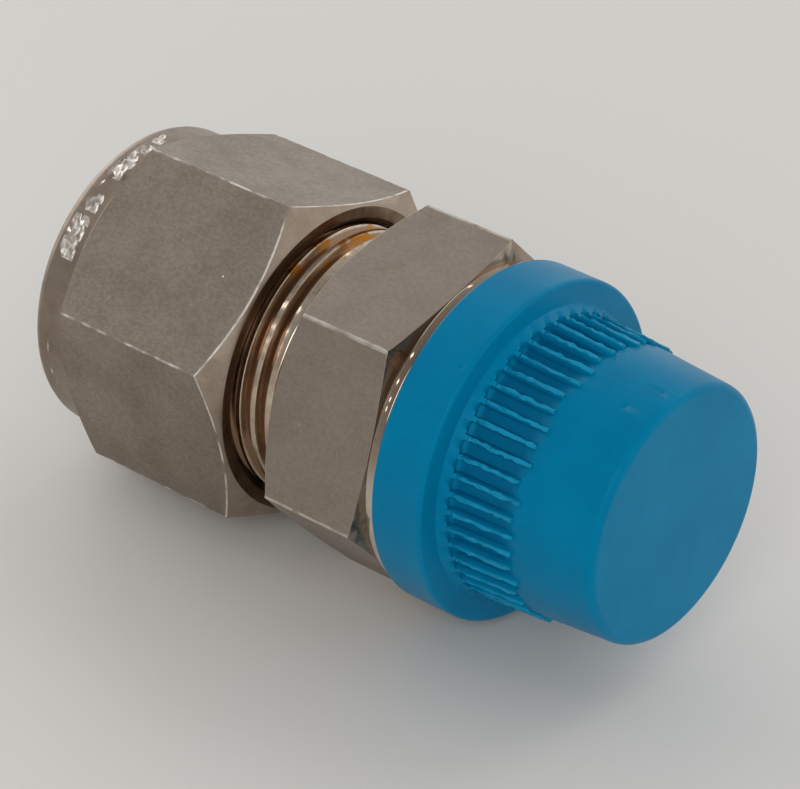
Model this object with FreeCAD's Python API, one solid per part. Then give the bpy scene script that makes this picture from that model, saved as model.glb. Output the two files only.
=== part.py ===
import FreeCAD, Part
import math
import os

# Male tube connector with twin ferrules: a 12 mm tube goes in behind the nut, and a 3/8 inch
# taper pipe thread is at the other end, under a push-on plastic cap.
# X is the flow axis, from the nut to the cap, and +Z is up. The connector lies on a nut corner
# and a body corner, as it comes to rest on a table. The origin is on the axis, in the rear face
# of the body hex. Lengths are in millimetres, angles in degrees.

# Tube and flow path
tube_radius = 6.0
socket_clearance = 0.10
ferrule_clearance = 0.12
nut_tube_clearance = 0.20
flow_bore_radius = 4.75
tube_stop_depth = 1.80

# Hexes
hex_across_flats = 22.0
hex_chamfer_angle = 30.0
hex_face_inset = 0.20
hex_lean = 15.0

# Body
body_hex_width = 9.50
body_front_angle = 14.0
shoulder_rise = 0.50
shoulder_width = 1.05
shoulder_round = 0.30
neck_length = 10.50
neck_nose_wall = 1.925
neck_nose_chamfer = 0.60
neck_relief_width = 1.10
neck_relief_depth = 0.45
mouth_widening = 1.50
mouth_angle = 20.0
pipe_thread_length = 14.0
pipe_end_radius = 8.337
pipe_taper = 1.0 / 32.0
pipe_end_chamfer = 0.80
pipe_relief_width = 1.00
pipe_relief_depth = 0.35

# Nut
nut_gap = 4.05
nut_rear_wall = 3.12
nut_chamfer_angle = 33.5
nut_shoulder_inset = 0.05
nut_shoulder_length = 2.85
nut_shoulder_round = 0.80
nut_mouth_chamfer = 0.42
thread_clearance = 0.06
nut_thread_runout = 1.50
nut_pocket_clearance = 0.15
nut_drive_gap = 0.05

# Ferrules
ferrule_seat_gap = 0.05
front_tip_wall = 0.43
front_wall = 1.83
front_rear_land = 2.00
front_recess_wall = 0.85
drive_angle = 45.0
ferrule_edge_chamfer = 0.15
back_tip_wall = 0.33
back_waist_wall = 1.13
back_waist_length = 1.30
back_flange_step = 0.15
back_flange_land = 1.20
back_rear_wall = 0.88

# Cap
cap_seat_gap = 0.10
cap_end_gap = 0.25
cap_flange_width = 4.00
cap_flange_height = 2.10
cap_flange_chamfer = 0.20
cap_root_wall = 1.00
cap_tip_wall = 0.505
cap_flare_height = 0.50
cap_flare_length = 0.65
cap_end_round = 0.60
cap_thread_clearance = 0.10
cap_end_wall = 1.20
cap_mouth_chamfer = 0.50
rib_count = 48
rib_width = 0.40
groove_depth = 0.30
groove_length = 4.80
groove_ramp = 0.35

# Worked out from the sizes above
flat_radius = hex_across_flats / 2
corner_radius = flat_radius / math.cos(math.radians(30))
hex_face_radius = flat_radius - hex_face_inset
shoulder_radius = flat_radius + shoulder_rise
nut_shoulder_radius = flat_radius - nut_shoulder_inset
socket_radius = tube_radius + socket_clearance
ferrule_bore_radius = tube_radius + ferrule_clearance
nut_bore_radius = tube_radius + nut_tube_clearance
mouth_radius = socket_radius + mouth_widening
neck_thread_radius = mouth_radius + neck_nose_wall
nut_thread_radius = neck_thread_radius + thread_clearance
nut_mouth_radius = nut_thread_radius + nut_mouth_chamfer
front_outer_radius = ferrule_bore_radius + front_wall
back_flange_radius = front_outer_radius + back_flange_step
back_waist_radius = ferrule_bore_radius + back_waist_wall
back_rear_radius = ferrule_bore_radius + back_rear_wall
nut_front_x = -nut_gap
nose_x = -neck_length
shoulder_x = body_hex_width - shoulder_width
pipe_end_x = body_hex_width + pipe_thread_length
cap_back_x = body_hex_width + cap_seat_gap
cap_root_x = cap_back_x + cap_flange_width
cap_floor_x = pipe_end_x + cap_end_gap
cap_front_x = cap_floor_x + cap_end_wall
nut_corner_angle = -90 + hex_lean
body_corner_angle = -90 - hex_lean


def pipe_radius(x):
    # Crest radius of the taper pipe thread at one station
    return pipe_end_radius + (pipe_end_x - x) * pipe_taper


def cavity_radius(x):
    # Radius of the cap's inside at one station
    return pipe_radius(x) + cap_thread_clearance


def barrel_radius(x):
    # Radius of the cap's tapered barrel at one station
    root_radius = cavity_radius(cap_root_x) + cap_root_wall
    tip_radius = cavity_radius(cap_front_x) + cap_tip_wall
    return root_radius + (tip_radius - root_radius) * (x - cap_root_x) / (cap_front_x - cap_root_x)


def rounded_corner(before, corner, after, radius):
    # End points and middle point of the arc that rounds one corner of an outline
    to_before = before - corner
    to_after = after - corner
    half_angle = to_before.getAngle(to_after) / 2
    room = 0.45 * min(to_before.Length, to_after.Length)
    reach = min(radius / math.tan(half_angle), room)
    radius = reach * math.tan(half_angle)
    to_before.normalize()
    to_after.normalize()
    middle = to_before + to_after
    middle.normalize()
    start = corner + to_before * reach
    end = corner + to_after * reach
    top = corner + middle * (radius / math.sin(half_angle) - radius)
    return start, top, end


def turned(outline):
    # Solid turned about the X axis. Each point is (x, radius) or (x, radius, corner round).
    points = [FreeCAD.Vector(point[0], 0, point[1]) for point in outline]
    rounds = [point[2] if len(point) > 2 else 0 for point in outline]
    count = len(points)
    corners = []
    for index, point in enumerate(points):
        if rounds[index] > 0:
            after = points[(index + 1) % count]
            corners.append(rounded_corner(points[index - 1], point, after, rounds[index]))
        else:
            corners.append((point, None, point))
    edges = []
    for index, (start, top, end) in enumerate(corners):
        if top is not None:
            edges.append(Part.Arc(start, top, end).toShape())
        edges.append(Part.LineSegment(end, corners[(index + 1) % count][0]).toShape())
    profile = Part.Face(Part.Wire(edges))
    return profile.revolve(FreeCAD.Vector(0, 0, 0), FreeCAD.Vector(1, 0, 0), 360)


def hex_bar(start_x, end_x, corner_angle):
    # Hexagon bar along X with one corner at the given angle, measured from +Y towards +Z
    corners = []
    for index in range(7):
        angle = math.radians(corner_angle + 60 * index)
        side = corner_radius * math.cos(angle)
        height = corner_radius * math.sin(angle)
        corners.append(FreeCAD.Vector(start_x, side, height))
    return Part.Face(Part.makePolygon(corners)).extrude(FreeCAD.Vector(end_x - start_x, 0, 0))


def chamfer_length(inner_radius, angle):
    # Length along the axis of a hex chamfer that starts at a face of this radius
    return (corner_radius - inner_radius) * math.tan(math.radians(angle))


def make_body():
    # Hexagon with a chamfer at the rear and a front face that falls back to its corners
    rear_chamfer = chamfer_length(hex_face_radius, hex_chamfer_angle)
    front_chamfer = chamfer_length(shoulder_radius, body_front_angle)
    hex_envelope = turned([
        (0, 0),
        (0, hex_face_radius),
        (rear_chamfer, corner_radius),
        (shoulder_x - front_chamfer, corner_radius),
        (shoulder_x, shoulder_radius),
        (shoulder_x, 0),
    ])
    hexagon = hex_bar(0, shoulder_x, body_corner_angle).common(hex_envelope)
    # Round shoulder in front of the hexagon, which stands proud of the flats
    shoulder = turned([
        (shoulder_x, 0),
        (shoulder_x, shoulder_radius, shoulder_round),
        (body_hex_width, shoulder_radius, shoulder_round),
        (body_hex_width, 0),
    ])
    # Threaded neck behind the hexagon, with a relief beside the hex face
    relief_radius = neck_thread_radius - neck_relief_depth
    neck = turned([
        (nose_x, 0),
        (nose_x, neck_thread_radius - neck_nose_chamfer),
        (nose_x + neck_nose_chamfer, neck_thread_radius),
        (-neck_relief_width, neck_thread_radius),
        (-neck_relief_width + neck_relief_depth, relief_radius),
        (0, relief_radius),
        (0, 0),
    ])
    # Taper pipe thread in front of the hexagon, with its run-out beside the shoulder
    relief_end_x = body_hex_width + pipe_relief_width
    pipe = turned([
        (body_hex_width, 0),
        (body_hex_width, pipe_radius(body_hex_width) - pipe_relief_depth),
        (relief_end_x - pipe_relief_depth, pipe_radius(relief_end_x) - pipe_relief_depth),
        (relief_end_x, pipe_radius(relief_end_x)),
        (pipe_end_x - pipe_end_chamfer, pipe_radius(pipe_end_x - pipe_end_chamfer)),
        (pipe_end_x, pipe_end_radius - pipe_end_chamfer),
        (pipe_end_x, 0),
    ])
    # Bore: mouth that the front ferrule seats in, tube socket, tube stop and flow bore
    mouth_end_x = nose_x + (mouth_radius - socket_radius) / math.tan(math.radians(mouth_angle))
    bore = turned([
        (nose_x, 0),
        (nose_x, mouth_radius),
        (mouth_end_x, socket_radius),
        (tube_stop_depth, socket_radius),
        (tube_stop_depth, flow_bore_radius),
        (pipe_end_x, flow_bore_radius),
        (pipe_end_x, 0),
    ])
    return neck.fuse([hexagon, shoulder, pipe]).removeSplitter().cut(bore)


def front_ferrule_stations():
    # Stations along X of the tip, the end of the nose cone and the rear face
    mouth_slope = math.tan(math.radians(mouth_angle))
    tip_radius = ferrule_bore_radius + front_tip_wall
    seat_shift = ferrule_seat_gap / math.sin(math.radians(mouth_angle))
    tip_x = nose_x + (mouth_radius - tip_radius) / mouth_slope - seat_shift
    cone_x = tip_x - (front_outer_radius - tip_radius) / mouth_slope
    return tip_x, cone_x, cone_x - front_rear_land


def make_front_ferrule():
    # Nose cone that wedges into the body, with a conical recess behind for the back ferrule
    tip_x, cone_x, rear_x = front_ferrule_stations()
    recess_radius = front_outer_radius - front_recess_wall
    recess_depth = (recess_radius - ferrule_bore_radius) / math.tan(math.radians(drive_angle))
    return turned([
        (tip_x, ferrule_bore_radius),
        (tip_x, ferrule_bore_radius + front_tip_wall),
        (cone_x, front_outer_radius),
        (rear_x + ferrule_edge_chamfer, front_outer_radius),
        (rear_x, front_outer_radius - ferrule_edge_chamfer),
        (rear_x, recess_radius),
        (rear_x + recess_depth, ferrule_bore_radius),
    ])


def back_ferrule_stations():
    # Stations along X of the tip, the end of the nose cone, the flange, its chamfer and the rear
    drive_slope = math.tan(math.radians(drive_angle))
    front_rear_x = front_ferrule_stations()[2]
    recess_radius = front_outer_radius - front_recess_wall
    tip_x = front_rear_x + (recess_radius - ferrule_bore_radius - back_tip_wall) / drive_slope
    cone_x = front_rear_x - (back_waist_radius - recess_radius) / drive_slope
    flange_x = cone_x - back_waist_length
    chamfer_x = flange_x - back_flange_land
    rear_x = chamfer_x - (back_flange_radius - back_rear_radius) / drive_slope
    return tip_x, cone_x, flange_x, chamfer_x, rear_x


def make_back_ferrule():
    # Nose cone, waist and driven flange, whose rear chamfer the nut pushes on
    tip_x, cone_x, flange_x, chamfer_x, rear_x = back_ferrule_stations()
    return turned([
        (tip_x, ferrule_bore_radius),
        (tip_x, ferrule_bore_radius + back_tip_wall),
        (cone_x, back_waist_radius),
        (flange_x, back_waist_radius),
        (flange_x, back_flange_radius - ferrule_edge_chamfer),
        (flange_x - ferrule_edge_chamfer, back_flange_radius),
        (chamfer_x, back_flange_radius),
        (rear_x, back_rear_radius),
        (rear_x, ferrule_bore_radius),
    ])


def make_nut():
    # Inside: tube hole, drive cone for the back ferrule, ferrule pocket, thread and mouth
    drive_slope = math.tan(math.radians(drive_angle))
    pocket_radius = back_flange_radius + nut_pocket_clearance
    back_rear_x = back_ferrule_stations()[4]
    drive_x = back_rear_x - nut_drive_gap / math.sin(math.radians(drive_angle))
    hole_end_x = drive_x - (back_rear_radius - nut_bore_radius) / drive_slope
    pocket_x = drive_x + (pocket_radius - back_rear_radius) / drive_slope
    thread_end_x = nose_x - nut_thread_runout
    nut_rear_x = hole_end_x - nut_rear_wall
    bore = turned([
        (nut_rear_x, 0),
        (nut_rear_x, nut_bore_radius),
        (hole_end_x, nut_bore_radius),
        (pocket_x, pocket_radius),
        (thread_end_x - (nut_thread_radius - pocket_radius), pocket_radius),
        (thread_end_x, nut_thread_radius),
        (nut_front_x - nut_mouth_chamfer, nut_thread_radius),
        (nut_front_x, nut_mouth_radius),
        (nut_front_x, 0),
    ])
    # Outside: hexagon with chamfered ends, and a round shoulder with a rounded edge at the rear
    front_chamfer = chamfer_length(hex_face_radius, hex_chamfer_angle)
    rear_chamfer = chamfer_length(nut_shoulder_radius, nut_chamfer_angle)
    nut_shoulder_x = nut_rear_x + nut_shoulder_length
    envelope = turned([
        (nut_rear_x, 0),
        (nut_rear_x, nut_shoulder_radius, nut_shoulder_round),
        (nut_shoulder_x, nut_shoulder_radius),
        (nut_shoulder_x + rear_chamfer, corner_radius),
        (nut_front_x - front_chamfer, corner_radius),
        (nut_front_x, hex_face_radius),
        (nut_front_x, 0),
    ])
    return hex_bar(nut_rear_x, nut_front_x, nut_corner_angle).common(envelope).cut(bore)


def make_groove():
    # One groove between two ribs, along the barrel on the +Z side
    start_x = cap_root_x + cap_flare_length
    end_x = start_x + groove_length
    above = barrel_radius(cap_root_x) + cap_flare_height
    rib_pitch = 2 * math.pi * barrel_radius(cap_root_x) / rib_count
    half_width = (rib_pitch - rib_width) / 2
    side = [
        (start_x - groove_ramp, above),
        (start_x, barrel_radius(start_x) - groove_depth),
        (end_x - groove_ramp, barrel_radius(end_x) - groove_depth),
        (end_x, above),
    ]
    points = [FreeCAD.Vector(x, -half_width, z) for x, z in side + side[:1]]
    return Part.Face(Part.makePolygon(points)).extrude(FreeCAD.Vector(0, 2 * half_width, 0))


def make_cap():
    # Flange, flared foot and tapered barrel with a closed flat end
    flange_radius = barrel_radius(cap_root_x) + cap_flange_height
    flare_end_x = cap_root_x + cap_flare_length
    shell = turned([
        (cap_back_x, 0),
        (cap_back_x, flange_radius - cap_flange_chamfer),
        (cap_back_x + cap_flange_chamfer, flange_radius),
        (cap_root_x - cap_flange_chamfer, flange_radius),
        (cap_root_x, flange_radius - cap_flange_chamfer),
        (cap_root_x, barrel_radius(cap_root_x) + cap_flare_height),
        (flare_end_x, barrel_radius(flare_end_x)),
        (cap_front_x, barrel_radius(cap_front_x), cap_end_round),
        (cap_front_x, 0),
    ])
    # The inside follows the taper of the pipe thread
    cavity = turned([
        (cap_back_x, 0),
        (cap_back_x, cavity_radius(cap_back_x) + cap_mouth_chamfer),
        (cap_back_x + cap_mouth_chamfer, cavity_radius(cap_back_x + cap_mouth_chamfer)),
        (cap_floor_x, cavity_radius(cap_floor_x)),
        (cap_floor_x, 0),
    ])
    groove = make_groove()
    grooves = []
    for index in range(rib_count):
        copy = groove.copy()
        copy.rotate(FreeCAD.Vector(0, 0, 0), FreeCAD.Vector(1, 0, 0), 360 * index / rib_count)
        grooves.append(copy)
    return shell.cut(cavity).cut(grooves)


os.makedirs("parts", exist_ok=True)
pieces = {
    "connector_body": make_body(),
    "nut": make_nut(),
    "front_ferrule": make_front_ferrule(),
    "back_ferrule": make_back_ferrule(),
    "protective_cap": make_cap(),
}
for name, shape in pieces.items():
    solid = shape.Solids[0]
    box = solid.BoundBox
    print(name, "solids", len(shape.Solids), "valid", solid.isValid(), "volume", round(solid.Volume, 1))
    print("  x", round(box.XMin, 2), round(box.XMax, 2), "z", round(box.ZMin, 2), round(box.ZMax, 2))
    solid.exportStep("parts/" + name + ".step")
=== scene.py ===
import math
import random
from types import SimpleNamespace

import bpy
import bmesh
from mathutils import Euler, Matrix, Vector, noise


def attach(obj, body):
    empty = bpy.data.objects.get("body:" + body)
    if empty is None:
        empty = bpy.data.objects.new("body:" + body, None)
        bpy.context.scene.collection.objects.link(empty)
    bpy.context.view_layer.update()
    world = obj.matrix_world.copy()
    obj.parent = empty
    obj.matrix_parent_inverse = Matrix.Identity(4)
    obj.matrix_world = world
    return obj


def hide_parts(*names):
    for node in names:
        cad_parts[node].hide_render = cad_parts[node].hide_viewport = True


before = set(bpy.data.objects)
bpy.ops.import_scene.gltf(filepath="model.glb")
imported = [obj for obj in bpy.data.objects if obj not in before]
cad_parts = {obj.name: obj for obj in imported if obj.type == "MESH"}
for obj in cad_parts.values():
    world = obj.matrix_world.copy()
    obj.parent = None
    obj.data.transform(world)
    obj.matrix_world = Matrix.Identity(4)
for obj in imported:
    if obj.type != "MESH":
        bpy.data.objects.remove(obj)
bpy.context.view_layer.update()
mm = 0.001
micrometre = 1e-6
print("frame loaded", list(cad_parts))

# Camera first, because everything else is judged through it
cameraView = {
    "place": (139.3, -169.0, 126.55),
    "forward": (-0.5447, 0.6706, -0.5035),
    "up": (-0.3484, 0.3652, 0.8633),
    "focalPixels": 3800.0,
    "imageWidth": 800,
    "sensorWidth": 36.0,
    "nearest": 0.01,
    "farthest": 20.0,
}


def makeCamera(values):
    lens = bpy.data.cameras.new("photoCamera")
    lens.sensor_fit = "HORIZONTAL"
    lens.sensor_width = values.sensorWidth
    lens.lens = values.focalPixels / values.imageWidth * lens.sensor_width
    lens.clip_start = values.nearest
    lens.clip_end = values.farthest
    camera = bpy.data.objects.new("photoCamera", lens)
    bpy.context.scene.collection.objects.link(camera)
    forward = Vector(values.forward).normalized()
    right = forward.cross(Vector(values.up)).normalized()
    upward = right.cross(forward)
    turn = Matrix((right, upward, -forward)).transposed()
    camera.matrix_world = Matrix.Translation(Vector(values.place) * mm) @ turn.to_4x4()
    bpy.context.scene.camera = camera


makeCamera(SimpleNamespace(**cameraView))
print("camera placed")


# Modelling helpers

def clearSelection():
    if bpy.context.object and bpy.context.object.mode != "OBJECT":
        bpy.ops.object.mode_set(mode="OBJECT")
    bpy.ops.object.select_all(action="DESELECT")


def pickPiece(piece):
    clearSelection()
    piece.select_set(True)
    bpy.context.view_layer.objects.active = piece


def startEditing(piece):
    pickPiece(piece)
    bpy.ops.object.mode_set(mode="EDIT")
    bpy.ops.mesh.select_mode(type="VERT")
    bpy.ops.mesh.select_all(action="DESELECT")


def stopEditing():
    bpy.ops.object.mode_set(mode="OBJECT")


def selectVertices(piece, test):
    # Inside edit mode: selects the vertices whose place in millimetres passes the test
    grid = bmesh.from_edit_mesh(piece.data)
    for vertex in grid.verts:
        vertex.select_set(test(vertex.co / mm))
    grid.select_flush_mode()
    bmesh.update_edit_mesh(piece.data)


def selectFaces(piece, test):
    # Inside edit mode: selects the faces whose centre in millimetres and normal pass the test
    bpy.ops.mesh.select_mode(type="FACE")
    grid = bmesh.from_edit_mesh(piece.data)
    for face in grid.faces:
        face.select_set(bool(test(face.calc_center_median() / mm, face.normal)))
    bmesh.update_edit_mesh(piece.data)


def radiusOf(place):
    return math.hypot(place.y, place.z)


def angleOf(place):
    return math.degrees(math.atan2(place.z, place.y)) % 360


def outwardAt(angle):
    # Direction away from the flow axis, at an angle in degrees from +Y towards +Z
    return Vector((0, math.cos(math.radians(angle)), math.sin(math.radians(angle))))


def roundCorners(outline, steps):
    # Outline points are (x, radius) or (x, radius, corner round). Rounds become short arcs, each within 0.45
    # of the sides beside it.
    count = len(outline)
    made = []
    for index, point in enumerate(outline):
        corner = Vector(point[:2])
        size = point[2] if len(point) > 2 else 0
        if not size:
            made.append(corner)
            continue
        before = Vector(outline[index - 1][:2]) - corner
        after = Vector(outline[(index + 1) % count][:2]) - corner
        half = before.angle(after) / 2
        reach = min(size / math.tan(half), 0.45 * before.length, 0.45 * after.length)
        size = reach * math.tan(half)
        start = corner + before.normalized() * reach
        end = corner + after.normalized() * reach
        middle = (before.normalized() + after.normalized()).normalized()
        centre = corner + middle * (size / math.sin(half))
        for step in range(steps + 1):
            arm = (start - centre).lerp(end - centre, step / steps)
            made.append(centre + arm.normalized() * size)
    return made


def drawOutline(name, points, closed):
    # One vertex, extruded from point to point in the X-Z plane
    places = [Vector((x * mm, 0, radius * mm)) for x, radius in points]
    clearSelection()
    bpy.ops.mesh.primitive_plane_add(size=mm)
    piece = bpy.context.object
    piece.name = name
    piece.data.name = name
    bpy.ops.object.mode_set(mode="EDIT")
    bpy.ops.mesh.select_mode(type="VERT")
    bpy.ops.mesh.select_all(action="SELECT")
    bpy.ops.mesh.merge(type="CENTER")
    bpy.ops.transform.translate(value=places[0])
    for before, after in zip(places, places[1:]):
        bpy.ops.mesh.extrude_region_move(TRANSFORM_OT_translate={"value": after - before})
    if closed:
        ends = (places[0], places[-1])
        selectVertices(piece, lambda place: min((place * mm - end).length for end in ends) < 1e-8)
        bpy.ops.mesh.edge_face_add()
    return piece


def tidyMesh():
    # Inside edit mode: doubles merged, then normals outwards
    bpy.ops.mesh.select_all(action="SELECT")
    bpy.ops.mesh.remove_doubles(threshold=1e-7)
    bpy.ops.mesh.normals_make_consistent(inside=False)


def spinRound(steps, angle, copies=False):
    # Inside edit mode: spins the selection round the flow axis, as one skin or as separate copies
    bpy.ops.mesh.spin(steps=steps, angle=angle, dupli=copies, center=(0, 0, 0), axis=(1, 0, 0))


def growAcross(share):
    # Inside edit mode: moves the selection away from the flow axis, in proportion
    bpy.ops.transform.resize(value=(1, share, share), center_override=(0, 0, 0))


turning = {"steps": 192, "arcSteps": 5}


def turnOutline(name, outline):
    # Turned piece: the outline spun once round the X axis
    piece = drawOutline(name, roundCorners(outline, turning["arcSteps"]), True)
    bpy.ops.mesh.select_all(action="SELECT")
    spinRound(turning["steps"], math.tau)
    tidyMesh()
    stopEditing()
    return piece


def makeHexBar(name, cornerRadius, startX, endX, cornerAngle):
    clearSelection()
    bpy.ops.mesh.primitive_cylinder_add(
        vertices=6, radius=cornerRadius * mm, depth=(endX - startX) * mm,
        location=((startX + endX) / 2 * mm, 0, 0), rotation=(0, math.radians(90), 0))
    bar = bpy.context.object
    bar.name = name
    bpy.ops.object.transform_apply()
    corner = bar.data.vertices[0].co
    now = math.atan2(corner.z, corner.y)
    bar.rotation_euler = (math.radians(cornerAngle) - now, 0, 0)
    bpy.ops.object.transform_apply()
    return bar


def applyModifier(piece, kind, **settings):
    pickPiece(piece)
    modifier = piece.modifiers.new(kind.lower(), kind)
    for key, value in settings.items():
        setattr(modifier, key, value)
    bpy.ops.object.modifier_apply(modifier=modifier.name)


def combine(piece, other, operation):
    applyModifier(piece, "BOOLEAN", operation=operation, solver="EXACT", object=other)
    bpy.data.objects.remove(other)


def softenEdges(piece, width, angle=22, segments=2):
    applyModifier(piece, "BEVEL", width=width * mm, segments=segments, limit_method="ANGLE",
                  angle_limit=math.radians(angle), use_clamp_overlap=True, loop_slide=False)


def mendFlats(piece, firstAngle, dents):
    # A boolean may split a hexagon flat at a sliver, which would show as a line. Flats without a dent are
    # made one face again. The sliver may face inwards, so only faces seen from the side are left out.
    near, leanFrom, leanTo = 0.01, 0.1, 1.9  # Millimetres, then radians
    startEditing(piece)
    for angle in range(firstAngle, firstAngle + 360, 60):
        if any(abs((dent[1] - angle + 180) % 360 - 180) < 30 for dent in dents):
            continue
        outward = outwardAt(angle)
        selectFaces(piece, lambda place, normal: abs(place.dot(outward) - hexSizes["flatRadius"]) < near
                    and not leanFrom < normal.angle(outward) < leanTo)
        bpy.ops.mesh.dissolve_faces()
    stopEditing()


def helixCutter(name, profile, pitch, turns, startX, startAngle, steps, taper=0.0, fadeSteps=0, fadeLift=0.0):
    # Closed section swept along a right-handed helix about +X, with both ends filled. It fades out at its far
    # end where fadeLift is positive, and at its near end where it is negative.
    piece = drawOutline(name, [Vector(point) for point in profile], True)
    stopEditing()
    applyModifier(piece, "SCREW", axis="X", angle=math.tau * turns, iterations=1,
                  screw_offset=pitch * turns * mm, steps=int(steps * turns), render_steps=int(steps * turns),
                  use_merge_vertices=False, use_smooth_shade=False)
    if taper:
        reach = (piece.dimensions.x / mm) * taper / profile[0][1]
        applyModifier(piece, "SIMPLE_DEFORM", deform_method="TAPER", deform_axis="X", factor=-reach)
    startEditing(piece)
    bpy.ops.mesh.select_non_manifold()
    bpy.ops.mesh.fill_holes(sides=0)
    # The last steps are lifted out one by one, so that the groove runs out softly
    ringSize = len(profile)
    ringCount = len(piece.data.vertices) // ringSize
    for step in range(fadeSteps):
        ring = ringCount - 1 - step if fadeLift > 0 else step
        lift = 1 + abs(fadeLift) / profile[0][1] * (1 - step / fadeSteps) ** 2
        grid = bmesh.from_edit_mesh(piece.data)
        for vertex in grid.verts:
            vertex.select_set(vertex.index // ringSize == ring)
        grid.select_flush_mode()
        growAcross(lift)
    tidyMesh()
    stopEditing()
    piece.rotation_euler = (math.radians(startAngle), 0, 0)
    piece.location = (startX * mm, 0, 0)
    bpy.ops.object.transform_apply()
    return piece


def addPits(piece, pits):
    # Small dents with flat sides: (along, angle, radius of the surface, width, length, depth, turn, sides)
    cutters = []
    above = 0.3  # How far the cutters stand out of the surface
    for along, angle, surface, width, length, depth, turn, sides in pits:
        outward = outwardAt(angle)
        place = Vector((along, 0, 0)) + outward * (surface + above - (depth + above) / 2)
        inward = (-outward).to_track_quat("Z", "X") @ Euler((0, 0, math.radians(turn))).to_quaternion()
        bpy.ops.mesh.primitive_cone_add(
            vertices=sides, radius1=width / 2 * (depth + above) / depth * mm, depth=(depth + above) * mm,
            location=place * mm, rotation=inward.to_euler(), scale=(length / width, 1, 1))
        cutters.append(bpy.context.object)
    clearSelection()
    for cutter in cutters:
        cutter.select_set(True)
    bpy.context.view_layer.objects.active = cutters[0]
    bpy.ops.object.join()
    combine(piece, bpy.context.object, "DIFFERENCE")


def shadeByAngle(piece, angle, weight):
    # A high weight lets the wide faces keep their own normal right up to the softened edges
    pickPiece(piece)
    bpy.ops.object.shade_smooth_by_angle(angle=math.radians(angle))
    applyModifier(piece, "WEIGHTED_NORMAL", keep_sharp=True, weight=weight)


def paintFaces(piece, names, choose):
    # Gives each face the finish that choose names from its centre in millimetres and its normal
    for name in names:
        piece.data.materials.append(finishes[name])
    for face in piece.data.polygons:
        face.material_index = names.index(choose(face.center / mm, face.normal))


def finishPiece(piece, body, slot, *nodes):
    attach(piece, body)
    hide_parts(*nodes)
    print(piece.name, "has", sum(len(face.vertices) - 2 for face in piece.data.polygons), "triangles")


# Sizes that several pieces share, in millimetres
hexSizes = {
    "flatRadius": 11.0, "cornerRadius": 12.7017, "faceRadius": 10.8, "chamferSlope": 0.57735, "margin": 0.06,
}
# Both sides of the neck's groove are rounded into the crest by the points (half width, radius)
neckThread = {
    "pitch": 1.27, "crest": 9.525, "root": 8.90, "rootHalf": 0.09, "slack": 0.03, "startX": -10.88,
    "startAngle": 80.0, "steps": 96, "cutRise": 0.08,
    "crestRound": [(0.413, 9.46), (0.437, 9.50), (0.470, 9.523), (0.500, 9.56), (0.500, 9.78)],
}

# Connector body
bodyShape = {
    "noseX": -10.5, "noseChamfer": 0.6, "mouthRadius": 7.6, "mouthEnd": -6.379, "socketRadius": 6.1,
    "stopX": 1.8, "flowRadius": 4.75, "neckEnd": -1.10, "reliefX": -0.65, "reliefRadius": 9.075,
    "neckTurns": 7.70, "neckLift": 0.85, "fadeSteps": 30,
    "shoulderRadius": 11.5, "shoulderX": 8.45, "shoulderBack": 8.88, "shoulderFoot": 10.9,
    "shoulderRound": 0.14, "frontSlope": 0.24933, "hexEnd": 9.5, "undercut": 0.35, "undercutLength": 0.65,
    "pipeStart": 1.0, "pipeEnd": 23.5, "pipeChamfer": 0.8, "pipeEndRadius": 8.337, "pipeTaper": 0.03125,
    "pipePitch": 1.411, "pipeDepth": 1.0, "pipeTurns": 9.75, "pipeBeyond": 0.9, "pipeCrest": 0.04,
    "pipeSteps": 72, "pipeLift": -1.1, "cornerAngle": -105, "edgeSoft": 0.06,
    "dents": [(3.81, 194.1, 12.59, 0.3, 0.5, 0.10, 60, 6), (6.0, 172.0, 11.08, 0.18, 0.24, 0.05, 0, 6),
              (2.6, 168.0, 11.01, 0.16, 0.4, 0.05, 40, 5)],
}


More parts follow.
